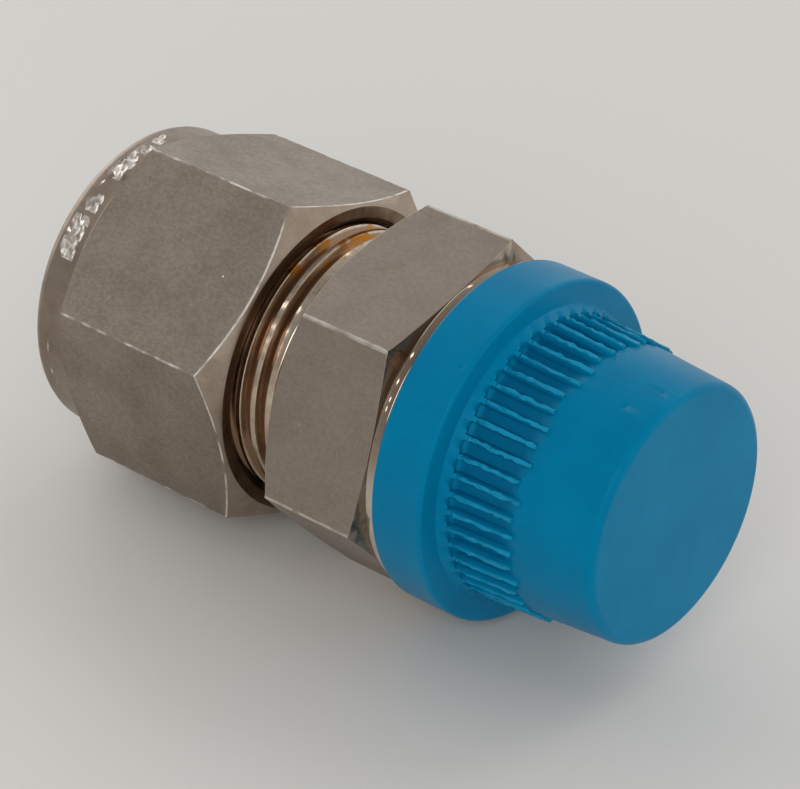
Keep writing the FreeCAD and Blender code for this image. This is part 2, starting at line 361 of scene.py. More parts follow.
def makeConnectorBody(v):
    beyond = hexSizes["cornerRadius"] + hexSizes["margin"]
    rearChamfer = (beyond - hexSizes["faceRadius"]) * hexSizes["chamferSlope"]
    frontChamfer = (beyond - v.shoulderRadius) * v.frontSlope

    def pipeRadius(x):
        return v.pipeEndRadius + (v.pipeEnd - x) * v.pipeTaper

    t = SimpleNamespace(**neckThread)
    hexEnd = v.hexEnd
    pipeStart = hexEnd + v.pipeStart
    outline = [
        (v.noseX, v.mouthRadius, 0.10),
        (v.noseX, t.crest - v.noseChamfer, 0.08),
        (v.noseX + v.noseChamfer, t.crest),
        (v.neckEnd, t.crest),
        (v.reliefX, v.reliefRadius, 0.25),
        (0.0, v.reliefRadius, 0.15),
        (0.0, hexSizes["faceRadius"]),
        (rearChamfer, beyond),
        (v.shoulderX - frontChamfer, beyond),
        (v.shoulderX, v.shoulderFoot),
        (v.shoulderBack, v.shoulderRadius, v.shoulderRound),
        (hexEnd, v.shoulderRadius, v.shoulderRound),
        (hexEnd, pipeRadius(hexEnd) - v.undercut, 0.12),
        (hexEnd + v.undercutLength, pipeRadius(pipeStart) - v.undercut, 0.1),
        (pipeStart, pipeRadius(pipeStart)),
        (v.pipeEnd - v.pipeChamfer, pipeRadius(v.pipeEnd - v.pipeChamfer), 0.1),
        (v.pipeEnd, v.pipeEndRadius - v.pipeChamfer, 0.08),
        (v.pipeEnd, v.flowRadius, 0.15),
        (v.stopX, v.flowRadius, 0.1),
        (v.stopX, v.socketRadius, 0.05),
        (v.mouthEnd, v.socketRadius, 0.2),
    ]
    piece = turnOutline("connector_body_turned", outline)
    # The hexagon ends where the round shoulder begins, so the shoulder stays proud of the flats
    corner = hexSizes["cornerRadius"]
    bar = makeHexBar("bodyBar", corner, v.noseX - 1, v.shoulderX + 1, v.cornerAngle)
    room = makeHexBar("bodyRoom", 2 * corner, v.shoulderX, v.pipeEnd + 1, 0.0)
    combine(bar, room, "UNION")
    combine(piece, bar, "INTERSECT")
    softenEdges(piece, v.edgeSoft)
    print("body blank turned")

    # Neck thread: a V groove with a rounded root and rounded crests, which runs out before the relief
    side = [(t.rootHalf * 0.5, t.root), (t.rootHalf + 0.02, t.root + 0.06)] + t.crestRound
    profile = [(-half, radius) for half, radius in reversed(side)] + side
    groove = helixCutter("neckGroove", profile, t.pitch, v.neckTurns, t.startX, t.startAngle,
                         t.steps, fadeSteps=v.fadeSteps, fadeLift=v.neckLift)
    combine(piece, groove, "DIFFERENCE")
    print("neck thread cut")

    # Taper pipe thread: the same way, on the cone that draws in towards the end
    startX = v.pipeEnd + v.pipeBeyond - v.pipeTurns * v.pipePitch
    crest = pipeRadius(startX)
    half = v.pipePitch / 2 - v.pipeCrest
    halfRoot = half - (v.pipeDepth + t.cutRise) * math.tan(math.radians(30))
    side = [(halfRoot, crest - v.pipeDepth), (half, crest + t.cutRise)]
    profile = [(-half, radius) for half, radius in reversed(side)] + side
    groove = helixCutter("pipeGroove", profile, v.pipePitch, v.pipeTurns, startX, 0.0, v.pipeSteps,
                         v.pipeTaper, v.fadeSteps, v.pipeLift)
    combine(piece, groove, "DIFFERENCE")
    print("pipe thread cut")
    addPits(piece, v.dents)
    mendFlats(piece, v.cornerAngle + 30, v.dents)
    return piece


# Nut
nutShape = {
    "frontX": -4.05, "rearX": -21.35, "mouthRadius": 10.005, "shoulderRadius": 10.95, "shoulderLength": 2.85,
    "shoulderRound": 0.8, "rearSlope": 0.66189, "holeRadius": 6.2, "holeEnd": -18.23, "pocketX": -16.18,
    "pocketRadius": 8.25, "threadEnd": -12.0, "threadChamfer": 0.4, "recessLength": 0.35, "minorRadius": 8.95,
    "rootRadius": 9.62, "cornerAngle": -75.0, "edgeSoft": 0.06, "threadTurns": 6.5,
}
# Stamped marks that spell nothing: crushed patches (low x, high x, first angle, last angle) on the shoulder,
# and small dents on it and on the flats (x, angle, surface radius, width, length, depth, turn, sides)
nutMarks = {
    "seed": 5, "rowStep": 0.24, "sink": 0.06, "crush": 0.17, "along": (-20.6, -18.6), "radii": (10.5, 10.94),
    "patches": [
        (-20.45, -18.95, 133.0, 150.0), (-20.30, -18.95, 124.0, 131.0), (-20.30, -18.85, 108.0, 115.0),
        (-20.20, -19.20, 97.0, 106.0), (-20.20, -19.20, 86.0, 93.0), (-20.20, -19.30, 252.0, 275.0),
        (-20.20, -19.30, 316.0, 344.0)],
    "dents": [
        (-20.1, 119.5, 10.95, 0.2, 0.7, 0.12, 10, 4), (-19.9, 184.0, 10.95, 0.2, 1.2, 0.12, 4, 4),
        (-19.9, 195.0, 10.95, 0.2, 0.6, 0.08, -10, 4), (-19.7, 200.0, 10.95, 0.2, 0.5, 0.08, 8, 4),
        (-11.66, 127.6, 11.09, 0.22, 0.60, 0.08, 60, 6), (-9.54, 126.6, 11.12, 0.22, 0.26, 0.06, 0, 6),
        (-14.47, 154.2, 11.65, 0.20, 0.30, 0.06, 30, 6), (-16.31, 113.6, 11.81, 0.20, 0.24, 0.06, 0, 6),
        (-8.2, 146.0, 11.21, 0.18, 0.26, 0.06, 80, 5), (-7.1, 133.0, 11.01, 0.16, 0.22, 0.05, 20, 6)],
}


def makeNut(v, marks):
    beyond = hexSizes["cornerRadius"] + hexSizes["margin"]
    frontChamfer = (beyond - hexSizes["faceRadius"]) * hexSizes["chamferSlope"]
    recessEnd = v.threadEnd - v.recessLength
    shoulderEnd = v.rearX + v.shoulderLength
    outline = [
        (v.rearX, v.holeRadius, 0.25),
        (v.rearX, v.shoulderRadius, v.shoulderRound),
        (shoulderEnd, v.shoulderRadius, 0.12),
        (shoulderEnd + (beyond - v.shoulderRadius) * v.rearSlope, beyond),
        (v.frontX - frontChamfer, beyond),
        (v.frontX, hexSizes["faceRadius"], 0.08),
        (v.frontX, v.mouthRadius, 0.05),
        (v.frontX - (v.mouthRadius - v.minorRadius), v.minorRadius),
        (v.threadEnd + v.threadChamfer, v.minorRadius),
        (v.threadEnd, v.rootRadius, 0.1),
        (recessEnd, v.rootRadius, 0.1),
        (recessEnd - (v.rootRadius - v.pocketRadius), v.pocketRadius, 0.2),
        (v.pocketX, v.pocketRadius, 0.1),
        (v.holeEnd, v.holeRadius, 0.15),
    ]
    piece = turnOutline("nut_turned", outline)
    corner = hexSizes["cornerRadius"]
    bar = makeHexBar("nutBar", corner, v.rearX - 1, v.frontX + 1, v.cornerAngle)
    combine(piece, bar, "INTERSECT")
    softenEdges(piece, v.edgeSoft)
    print("nut blank turned")

    # Inner thread: its grooves stand where the neck has crests
    t = SimpleNamespace(**neckThread)

    def grooveHalf(radius):
        neckHalf = t.rootHalf + (radius - t.root) * math.tan(math.radians(30))
        return t.pitch / 2 - neckHalf + t.slack

    low = v.minorRadius - t.cutRise
    root = v.rootRadius
    side = [(grooveHalf(root), root), (grooveHalf(low), low)]
    profile = [(-half, radius) for half, radius in reversed(side)] + side
    groove = helixCutter("nutGroove", profile, t.pitch, v.threadTurns, t.startX + t.pitch / 2,
                         t.startAngle, t.steps)
    combine(piece, groove, "DIFFERENCE")
    print("nut thread cut")

    addPits(piece, marks.dents)
    crushPatches(piece, v, marks)
    print("nut marked")
    return piece


def inStamp(place):
    low, high = nutMarks["along"]
    inner, outer = nutMarks["radii"]
    return low < place.x < high and inner < radiusOf(place) < outer


def crushPatches(piece, v, marks):
    # The shoulder is cut finely inside the patches, then its points are sunk and shaken
    def inPatch(place, margin=0.0):
        angle = angleOf(place)
        return radiusOf(place) > v.shoulderRadius - 0.02 and any(
            low + margin < place.x < high - margin and first + 4 * margin < angle < last - 4 * margin
            for low, high, first, last in marks.patches)

    def onShoulder(place, normal):
        angle = angleOf(place)
        beside = any(first - 1 < angle < last + 1 for low, high, first, last in marks.patches)
        onRound = abs(normal.x) < 0.02 and radiusOf(place) < v.shoulderRadius + 0.01
        return beside and onRound and place.x < v.rearX + v.shoulderLength + 0.5

    startEditing(piece)
    low = min(patch[0] for patch in marks.patches)
    high = max(patch[1] for patch in marks.patches)
    for step in range(int((high - low) / marks.rowStep) + 2):
        selectFaces(piece, onShoulder)
        bpy.ops.mesh.bisect(plane_co=((low + step * marks.rowStep) * mm, 0, 0), plane_no=(1, 0, 0))
    selectFaces(piece, lambda place, normal: inPatch(place) and abs(normal.x) < 0.02)
    bpy.ops.mesh.quads_convert_to_tris()
    bpy.ops.mesh.select_mode(type="VERT")
    selectVertices(piece, lambda place: inPatch(place, 0.08) and noise.noise(place * 1.4) > -0.22)
    growAcross(1 - marks.sink / v.shoulderRadius)
    bpy.ops.transform.vertex_random(offset=marks.crush * mm, uniform=0.0, normal=0.0, seed=marks.seed)
    selectFaces(piece, lambda place, normal: inStamp(place))
    bpy.ops.mesh.select_mode(type="EDGE")
    bpy.ops.mesh.mark_sharp()
    stopEditing()


# Protective cap
capShape = {
    "backX": 9.6, "rootX": 13.6, "floorX": 23.75, "frontX": 24.95, "endRound": 0.6, "flangeRadius": 11.846,
    "rootRadius": 9.746, "tipRadius": 8.8966, "barrelRows": (22.0, 20.5), "flareHeight": 0.5,
    "flareEnd": 14.5, "cavityBack": 8.8714, "cavityTaper": 0.03125, "cavityLead": 0.5, "cornerSteps": 4,
    "ribCount": 48, "ribTop": 0.34, "ribSteps": 2, "ribInset": 0.05, "ribRise": 0.10, "ribEndRise": 0.22,
    "ribRagged": 0.075, "ribShift": 0.22, "shiftKinds": 5, "seed": 7,
    "grooveStart": 14.22, "grooveEnd": 19.05, "grooveRows": 12, "grooveSteps": 4, "grooveInset": 0.07,
    "grooveDepth": 0.46, "grooveEndDepth": 0.05, "grooveSlant": 0.24, "slantFrom": 0.62,
    "nicks": [(22.57, 110.9, 0.35, 0.8, 0.10, 30.0), (23.62, 130.7, 0.3, 0.5, 0.08, 70.0),
              (23.7, 96.1, 0.3, 0.6, 0.10, 10.0), (12.9, 128.9, 0.3, 0.5, 0.10, 50.0)],
}


def makeProtectiveCap(v):
    def barrelRadius(x):
        share = (x - v.rootX) / (v.frontX - v.rootX)
        return v.rootRadius + (v.tipRadius - v.rootRadius) * share

    def cavityRadius(x):
        return v.cavityBack - (x - v.backX) * v.cavityTaper

    foot = barrelRadius(v.rootX) + v.flareHeight
    grooveLength = v.grooveEnd - v.grooveStart
    rows = [v.grooveStart + grooveLength * step / v.grooveRows for step in range(v.grooveRows + 1)]
    outline = [(v.frontX, 0.0), (v.frontX, v.tipRadius, v.endRound)]
    outline += [(x, barrelRadius(x)) for x in v.barrelRows]
    outline += [(x, barrelRadius(x)) for x in reversed(rows) if x > v.flareEnd]
    flareAt = (v.flareEnd - v.grooveStart) / (v.flareEnd - v.rootX)
    outline += [
        (v.flareEnd, barrelRadius(v.flareEnd)),
        (v.grooveStart, barrelRadius(v.grooveStart) + v.flareHeight * flareAt),
        (v.rootX + 0.12, foot - 0.05),
        (v.rootX, foot, 0.05),
        (v.rootX, v.flangeRadius, 0.28),
        (v.backX, v.flangeRadius, 0.22),
        (v.backX, cavityRadius(v.backX) + v.cavityLead, 0.12),
        (v.backX + v.cavityLead, cavityRadius(v.backX + v.cavityLead), 0.1),
        (v.floorX, cavityRadius(v.floorX), 0.3),
        (v.floorX, 0.0),
    ]
    # One rib and one groove are modelled on a thin slice, then repeated round the axis
    piece = drawOutline("protective_cap_moulded", roundCorners(outline, v.cornerSteps), False)
    pitchAngle = math.tau / v.ribCount
    ribAngle = v.ribTop / v.rootRadius
    bpy.ops.mesh.select_all(action="SELECT")
    for steps, angle in ((v.ribSteps, ribAngle), (v.grooveSteps, pitchAngle - ribAngle)):
        spinRound(steps, angle)
    tidyMesh()

    def inGroove(place, normal):
        along = v.grooveStart < place.x < v.grooveEnd
        outside = radiusOf(place) > barrelRadius(place.x) - 0.15
        return along and outside and abs(math.atan2(place.y, place.z)) % pitchAngle > ribAngle + 0.001

    grid = bmesh.from_edit_mesh(piece.data)
    outermost = max(grid.faces, key=lambda face: radiusOf(face.calc_center_median()))
    if outermost.normal.z <= 0:
        bpy.ops.mesh.flip_normals()
    selectFaces(piece, inGroove)
    bpy.ops.mesh.inset(thickness=v.grooveInset * mm, depth=-v.grooveDepth * mm)

    def onRib(place, normal):
        along = v.flareEnd < place.x < v.grooveEnd
        outside = radiusOf(place) > barrelRadius(place.x) - 0.03
        return along and outside and abs(math.atan2(place.y, place.z)) % pitchAngle < ribAngle

    selectFaces(piece, onRib)
    bpy.ops.mesh.inset(thickness=v.ribInset * mm, depth=v.ribRise * mm)
    # Row by row the floors rise and the crests grow towards the end of the ribs
    bpy.ops.mesh.select_mode(type="VERT")
    for row in rows:
        share = (row - v.grooveStart) / grooveLength
        for isFloor, change in ((True, (v.grooveDepth - v.grooveEndDepth) * share ** 4),
                                (False, (v.ribEndRise - v.ribRise) * share)):
            def inRow(place):
                height = radiusOf(place) - barrelRadius(place.x)
                if abs(place.x - row) >= 0.12 or not v.flareEnd - 0.3 < place.x < v.grooveEnd:
                    return False
                return -0.6 < height < -0.3 if isFloor else 0.5 * v.ribRise < height < 2 * v.ribRise

            selectVertices(piece, inRow)
            growAcross(1 + change / barrelRadius(row))

    def atTip(place):
        angle = abs(math.atan2(place.y, place.z)) % pitchAngle
        return abs(place.x - v.grooveStart) < 0.1 and angle > v.slantFrom * pitchAngle

    selectVertices(piece, atTip)
    bpy.ops.transform.translate(value=(-v.grooveSlant * mm, 0, 0))
    bpy.ops.mesh.select_all(action="SELECT")
    spinRound(v.ribCount - 1, pitchAngle * (v.ribCount - 1), copies=True)
    tidyMesh()
    # Moulded ribs are uneven: their ends reach more or less far, and their crests wander
    bpy.ops.mesh.select_mode(type="VERT")
    random.seed(v.seed)
    shifts = [random.randrange(v.shiftKinds) for rib in range(v.ribCount)]
    middle = v.shiftKinds // 2

    def shiftAt(place):
        return shifts[int(math.atan2(place.y, place.z) % math.tau / pitchAngle + 0.4) % v.ribCount]

    for kind in range(v.shiftKinds):
        selectVertices(piece, lambda place: abs(place.x - v.grooveEnd) < 0.3
                       and radiusOf(place) > barrelRadius(place.x) - 0.03 and shiftAt(place) == kind)
        bpy.ops.transform.translate(value=((kind - middle) / middle * v.ribShift * mm, 0, 0))
    selectVertices(piece, lambda place: v.flareEnd < place.x < v.grooveEnd + 0.4
                   and radiusOf(place) > barrelRadius(place.x) + 0.6 * v.ribRise)
    bpy.ops.transform.vertex_random(offset=v.ribRagged * mm, uniform=1.0, normal=0.0, seed=v.seed)
    stopEditing()
    pits = []
    for along, angle, *form in v.nicks:
        surface = barrelRadius(along) if along > v.rootX else v.flangeRadius
        pits.append((along, angle, surface, *form, 6))
    addPits(piece, pits)
    return piece


# Materials

def linear(red, green, blue):
    made = []
    for part in (red, green, blue):
        part /= 255
        made.append(part / 12.92 if part <= 0.04045 else ((part + 0.055) / 1.055) ** 2.4)
    return (*made, 1.0)


def put(tree, kind, sockets=None, **settings):
    # New node. Each of its sockets is given either another socket to link to or a plain value.
    made = tree.nodes.new("ShaderNode" + kind)
    for key, value in settings.items():
        setattr(made, key, value)
    for key, value in (sockets or {}).items():
        if isinstance(value, bpy.types.NodeSocket):
            tree.links.new(value, made.inputs[key])
        else:
            made.inputs[key].default_value = value
    return made


def startMaterial(name):
    material = bpy.data.materials.new(name)
    material.use_nodes = True
    tree = material.node_tree
    tree.nodes.clear()
    shader = put(tree, "BsdfPrincipled")
    output = put(tree, "OutputMaterial")
    tree.links.new(shader.outputs["BSDF"], output.inputs["Surface"])
    return material, tree, shader


def startGroup(name, inputs, outputs):
    # Shared effect: a node group with named sockets. Inputs are (name, kind, start value).
    group = bpy.data.node_groups.new(name, "ShaderNodeTree")
    for label, kind, value in inputs:
        socket = group.interface.new_socket(name=label, in_out="INPUT", socket_type="NodeSocket" + kind)
        if value is not None:
            socket.default_value = value
    for label, kind in outputs:
        group.interface.new_socket(name=label, in_out="OUTPUT", socket_type="NodeSocket" + kind)
    start = group.nodes.new("NodeGroupInput")
    end = group.nodes.new("NodeGroupOutput")
    return group, start.outputs, end.inputs


def calculate(tree, operation, first, second=0.0, third=0.0, clamp=False):
    sockets = {0: first, 1: second}
    if operation in ("MULTIPLY_ADD", "COMPARE"):
        sockets[2] = third
    return put(tree, "Math", sockets, operation=operation, use_clamp=clamp).outputs[0]


def times(tree, first, second):
    return calculate(tree, "MULTIPLY", first, second)


def stretch(tree, vector, scale, turn=(0, 0, 0)):
    sockets = {"Vector": vector, "Scale": scale, "Rotation": [math.radians(angle) for angle in turn]}
    return put(tree, "Mapping", sockets).outputs[0]


def noiseOf(tree, vector, scale, detail=2.0, roughness=0.5):
    sockets = {"Vector": vector, "Scale": scale, "Detail": detail, "Roughness": roughness}
    return put(tree, "TexNoise", sockets).outputs["Fac"]


def rangeOf(tree, value, fromLow, fromHigh, toLow=0.0, toHigh=1.0):
    sockets = {0: value, 1: fromLow, 2: fromHigh, 3: toLow, 4: toHigh}
    return put(tree, "MapRange", sockets, interpolation_type="SMOOTHSTEP").outputs[0]


def mixColours(tree, share, first, second):
    return put(tree, "Mix", {0: share, 6: first, 7: second}, data_type="RGBA").outputs[2]


def makeAxisGroup():
    # Object coordinates in millimetres, and the place along and away from the flow axis
    group, given, wanted = startGroup(
        "placeOnAxis", [("Vector", "Vector", None)],
        [("Place", "Vector"), ("Along", "Float"), ("Radius", "Float")])
    place = put(group, "VectorMath", {0: given["Vector"], 1: (1000, 1000, 1000)},
                operation="MULTIPLY")
    parts = put(group, "SeparateXYZ", {0: place.outputs[0]})
    across = put(group, "CombineXYZ", {"Y": parts.outputs[1], "Z": parts.outputs[2]})
    length = put(group, "VectorMath", {0: across.outputs[0]}, operation="LENGTH")
    group.links.new(place.outputs[0], wanted["Place"])
    group.links.new(parts.outputs[0], wanted["Along"])
    group.links.new(length.outputs["Value"], wanted["Radius"])
    return group


def makeStainGroup():
    # Slow change of tone over handled metal or plastic, with a few darker spots
    group, given, wanted = startGroup(
        "tonePatches",
        [("Place", "Vector", None), ("Size", "Float", 3.0), ("Spots", "Float", 0.3),
         ("Clean", "Color", None), ("Stained", "Color", None)],
        [("Color", "Color"), ("Mask", "Float")])
    near = put(group, "VectorMath", {0: given["Place"], 3: 1.0}, operation="SCALE")
    group.links.new(calculate(group, "DIVIDE", 1.0, given["Size"]), near.inputs[3])
    slow = rangeOf(group, noiseOf(group, near.outputs[0], 1.0, 6.0, 0.68), 0.30, 0.74)
    fine = rangeOf(group, noiseOf(group, near.outputs[0], 7.0, 3.0, 0.6), 0.60, 0.78)
    spots = times(group, fine, given["Spots"])
    mask = calculate(group, "MAXIMUM", slow, spots, clamp=True)
    group.links.new(mask, wanted["Mask"])
    group.links.new(mixColours(group, mask, given["Clean"], given["Stained"]), wanted["Color"])
    return group


def makeGrainGroup():
    # Fine grain drawn out along X, as on drawn bar, with an even roughness below it
    group, given, wanted = startGroup(
        "drawnGrain", [("Place", "Vector", None), ("Fineness", "Float", 6.0)],
        [("Height", "Float"), ("Mask", "Float")])
    long = stretch(group, given["Place"], (0.6, 1.0, 1.0))
    drawn = noiseOf(group, long, given["Fineness"], 4.0)
    pitted = noiseOf(group, given["Place"], given["Fineness"], 3.0)
    height = calculate(group, "MULTIPLY_ADD", pitted, 0.6, drawn)
    group.links.new(height, wanted["Height"])
    group.links.new(rangeOf(group, height, 0.6, 1.0), wanted["Mask"])
    return group


def makeScratchGroup():
    # Thin scratches in three directions, each broken into short lengths
    group, given, wanted = startGroup(
        "handlingScratches", [("Place", "Vector", None), ("Amount", "Float", 0.5)], [("Mask", "Float")])
    total = None
    for turn, scale, seed in (((18, 25, 40), 1.6, 3), ((70, -30, 10), 1.2, 11), ((-35, 60, -20), 1.9, 23)):
        moved = put(group, "VectorMath", {0: given["Place"], 1: (seed, seed * 2, -seed)})
        thin = stretch(group, moved.outputs[0], (0.07, 1.0, 1.0), turn)
        line = rangeOf(group, noiseOf(group, thin, scale * 4.5, 0.0, 0.4), 0.755, 0.80)
        broken = rangeOf(group, noiseOf(group, moved.outputs[0], 0.6, 1.0), 0.54, 0.64)
        line = times(group, line, broken)
        total = line if total is None else calculate(group, "MAXIMUM", total, line)
    group.links.new(calculate(group, "MULTIPLY", total, given["Amount"], clamp=True), wanted["Mask"])
    return group


def makeWearGroup():
    # Bright worn metal along an edge: Distance is how far the surface is from it, in millimetres
    group, given, wanted = startGroup(
        "edgeWear",
        [("Place", "Vector", None), ("Distance", "Float", 1.0), ("Width", "Float", 0.15),
         ("Kept", "Float", 0.5)],
        [("Mask", "Float")])
    near = calculate(group, "DIVIDE", given["Distance"], given["Width"])
    near = calculate(group, "ABSOLUTE", near)
    uneven = noiseOf(group, given["Place"], 2.6, 4.0, 0.65)
    near = calculate(group, "MULTIPLY_ADD", uneven, 0.8, calculate(group, "SUBTRACT", near, 0.4))
    edge = rangeOf(group, near, 0.55, 1.15, 1.0, 0.0)
    broken = noiseOf(group, given["Place"], 0.55, 2.0, 0.6)
    broken = rangeOf(group, calculate(group, "SUBTRACT", broken, given["Kept"]), -0.14, 0.14)
    group.links.new(times(group, edge, broken), wanted["Mask"])
    return group


def makeRingGroup():
    # Fine rings left by the lathe, which follow the axis on tapers and the radius on faces
    group, given, wanted = startGroup(
        "latheRings", [("Along", "Float", 0.0), ("Radius", "Float", 0.0), ("Fineness", "Float", 9.0)],
        [("Height", "Float"), ("Mask", "Float")])
    place = put(group, "CombineXYZ", {"X": given["Along"], "Y": given["Radius"]})
    rings = noiseOf(group, place.outputs[0], given["Fineness"], 3.0)
    wide = noiseOf(group, place.outputs[0], 1.7, 2.0)
    group.links.new(rings, wanted["Height"])
    group.links.new(times(group, rings, wide), wanted["Mask"])
    return group


axisGroup = makeAxisGroup()
stainGroup = makeStainGroup()
grainGroup = makeGrainGroup()
scratchGroup = makeScratchGroup()
wearGroup = makeWearGroup()
ringGroup = makeRingGroup()


def useGroup(tree, group, sockets):
    return put(tree, "Group", sockets, node_tree=group).outputs


def placeAndTone(tree, v):
    coordinates = put(tree, "TexCoord").outputs["Object"]
    axis = useGroup(tree, axisGroup, {"Vector": coordinates})
    stain = useGroup(tree, stainGroup, {
        "Place": axis["Place"], "Size": v["patch"], "Spots": v["spots"],
        "Clean": linear(*v["clean"]), "Stained": linear(*v["stained"])})
    return axis, stain


def connectShader(tree, shader, colour, roughness, height):
    bump = put(tree, "Bump", {"Height": height, "Distance": micrometre})
    tree.links.new(colour, shader.inputs["Base Color"])
    tree.links.new(roughness, shader.inputs["Roughness"])
    tree.links.new(bump.outputs["Normal"], shader.inputs["Normal"])


scratchColour = (206, 200, 192)
# Steel finishes. Colours are as seen on a screen, lengths in millimetres, heights in micrometres. Edges are
# (kind, radius, start of the cone, its slope, width of the wear, share kept).
steelDefaults = {"patch": 3.0, "spots": 0.5, "roughSpread": 0.08, "ringFineness": 8.0}
steelFinishes = {
    "bodyFlatSteel": {
        "clean": (158, 146, 135), "stained": (147, 135, 124), "patch": 3.4, "rough": 0.38,
        "roughSpread": 0.06, "grain": 8.0, "grainFineness": 4.6, "scratches": 0.06, "specks": 0.22,
        "speckColour": (118, 104, 90), "wornColour": (204, 196, 184),
        "edges": [("corner", 12.7017, 0, 0, 0.09, 0.44)],
    },
    "nutFlatSteel": {
        "clean": (158, 146, 134), "stained": (143, 131, 119), "patch": 4.2, "spots": 0.7, "rough": 0.38,
        "grain": 9.0, "grainFineness": 4.6, "scratches": 0.08, "specks": 0.30,
        "speckColour": (110, 96, 82), "wornColour": (234, 226, 216),
        "edges": [("corner", 12.7017, 0, 0, 0.06, 0.54), ("cone", 10.8, -4.05, 1.7321, 0.34, 0.44)],
    },
    "turnedSteel": {
        "clean": (170, 155, 140), "stained": (150, 134, 118), "spots": 0.3, "rough": 0.22, "rings": 5.0,
        "ringFineness": 9.0, "scratches": 0.08,
    },
    # Polished ring: its upper side is painted darker, a painted shade over the bright steel
    "polishedSteel": {
        "clean": (222, 216, 208), "stained": (196, 188, 178), "spots": 0.2, "rough": 0.03,
        "roughSpread": 0.02, "rings": 0.5, "topTintAndShade": (150, 134, 118), "topTintAndShadeFrom": -1.0, "topTintAndShadeTo": 3.0,
        "topTintAndShadePatch": (-1.0, 0.0),
    },
    "shoulderSteel": {
        "clean": (148, 134, 121), "stained": (130, 116, 103), "patch": 2.4, "rough": 0.30, "rings": 5.0,
        "ringFineness": 9.0, "scratches": 0.12,
    },
    "stampedSteel": {
        "clean": (232, 226, 218), "stained": (140, 126, 112), "patch": 0.35, "rough": 0.30,
        "roughSpread": 0.10, "rings": 3.0,
    },
    # Nut's front face and mouth: a darker, browner copy of the turned steel, painted shade of the gap between
    # nut and body
    "shadedRecessSteel": {
        "clean": (140, 120, 100), "stained": (105, 82, 62), "patch": 2.0, "rough": 0.26,
        "roughSpread": 0.10, "rings": 4.0, "ringFineness": 7.0,
    },
    # Neck thread: the darker brown below the crests, in the grooves and the relief, is painted shade
    "threadSteel": {
        "clean": (206, 192, 176), "stained": (170, 146, 122), "patch": 1.4, "rough": 0.09, "rings": 1.5,
        "ringFineness": 6.0, "threadShadeColour": (148, 120, 98), "deepFrom": 9.48, "deepTo": 9.34,
        # Amber patches are tinted over the top of the neck thread
        "topTintAndShade": (166, 112, 46), "topTintAndShadeFrom": 7.8, "topTintAndShadeTo": 8.4, "topTintAndShadePatch": (0.54, 0.61),
    },
    "pipeSteel": {
        "clean": (176, 164, 150), "stained": (152, 136, 120), "patch": 1.6, "spots": 0.3, "rough": 0.20,
        "roughSpread": 0.10, "rings": 3.0, "ringFineness": 6.0,
    },
    "boreSteel": {
        "clean": (170, 162, 152), "stained": (146, 138, 128), "spots": 0.2, "rough": 0.28, "rings": 4.0,
    },
    "ferruleSteel": {
        "clean": (186, 180, 172), "stained": (168, 160, 150), "patch": 2.4, "spots": 0.15,
        "rough": 0.22, "rings": 3.0, "ringFineness": 10.0, "scratches": 0.2,
    },
}


def makeSteel(name, v):
    material, tree, shader = startMaterial(name)
    axis, stain = placeAndTone(tree, v)
    colour = stain["Color"]
    roughness = calculate(tree, "MULTIPLY_ADD", stain["Mask"], v["roughSpread"], v["rough"])
    height = None
    if v.get("threadShadeColour"):
        deep = rangeOf(tree, axis["Radius"], v["deepTo"], v["deepFrom"], 1.0, 0.0)  # Painted shade: darker brown deeper in the groove and in the relief
        colour = mixColours(tree, deep, colour, linear(*v["threadShadeColour"]))
    if v.get("topTintAndShade"):
        # A tint over the upper side: painted shade on the polished ring, amber patches on the neck thread
        parts = put(tree, "SeparateXYZ", {0: axis["Place"]})
        topTintAndShade = rangeOf(tree, noiseOf(tree, axis["Place"], 0.7, 2.0), *v["topTintAndShadePatch"])
        topTintAndShade = times(tree, topTintAndShade, rangeOf(tree, parts.outputs[2], v["topTintAndShadeFrom"], v["topTintAndShadeTo"]))
        colour = mixColours(tree, topTintAndShade, colour, linear(*v["topTintAndShade"]))
    if v.get("grain"):
        grain = useGroup(tree, grainGroup, {"Place": axis["Place"], "Fineness": v["grainFineness"]})
        roughness = calculate(tree, "MULTIPLY_ADD", grain["Mask"], 0.06, roughness)
        specks = times(tree, grain["Mask"], v["specks"])
        colour = mixColours(tree, specks, colour, linear(*v["speckColour"]))
        height = times(tree, grain["Height"], v["grain"])
    if v.get("rings"):
        rings = useGroup(tree, ringGroup, {
            "Along": axis["Along"], "Radius": axis["Radius"], "Fineness": v["ringFineness"]})
        roughness = calculate(tree, "MULTIPLY_ADD", rings["Mask"], 0.12, roughness)
        height = times(tree, rings["Height"], v["rings"])
    if v.get("scratches"):
        scratches = useGroup(tree, scratchGroup, {"Place": axis["Place"], "Amount": v["scratches"]})
        colour = mixColours(tree, scratches["Mask"], colour, linear(*scratchColour))
        height = calculate(tree, "MULTIPLY_ADD", scratches["Mask"], -6.0, height)
    for kind, size, start, slope, width, kept in v.get("edges", []):
        if kind == "corner":
            distance = calculate(tree, "SUBTRACT", size, axis["Radius"])
        else:
            distance = calculate(tree, "SUBTRACT", start, axis["Along"])
            distance = calculate(tree, "MULTIPLY_ADD", distance, slope, size)
            distance = calculate(tree, "SUBTRACT", distance, axis["Radius"])
        wear = useGroup(tree, wearGroup, {
            "Place": axis["Place"], "Distance": distance, "Width": width, "Kept": kept})
        colour = mixColours(tree, wear["Mask"], colour, linear(*v["wornColour"]))
        roughness = calculate(tree, "MULTIPLY_ADD", wear["Mask"], -0.05, roughness)
    connectShader(tree, shader, colour, roughness, height)
    shader.inputs["Metallic"].default_value = 1.0
    return material


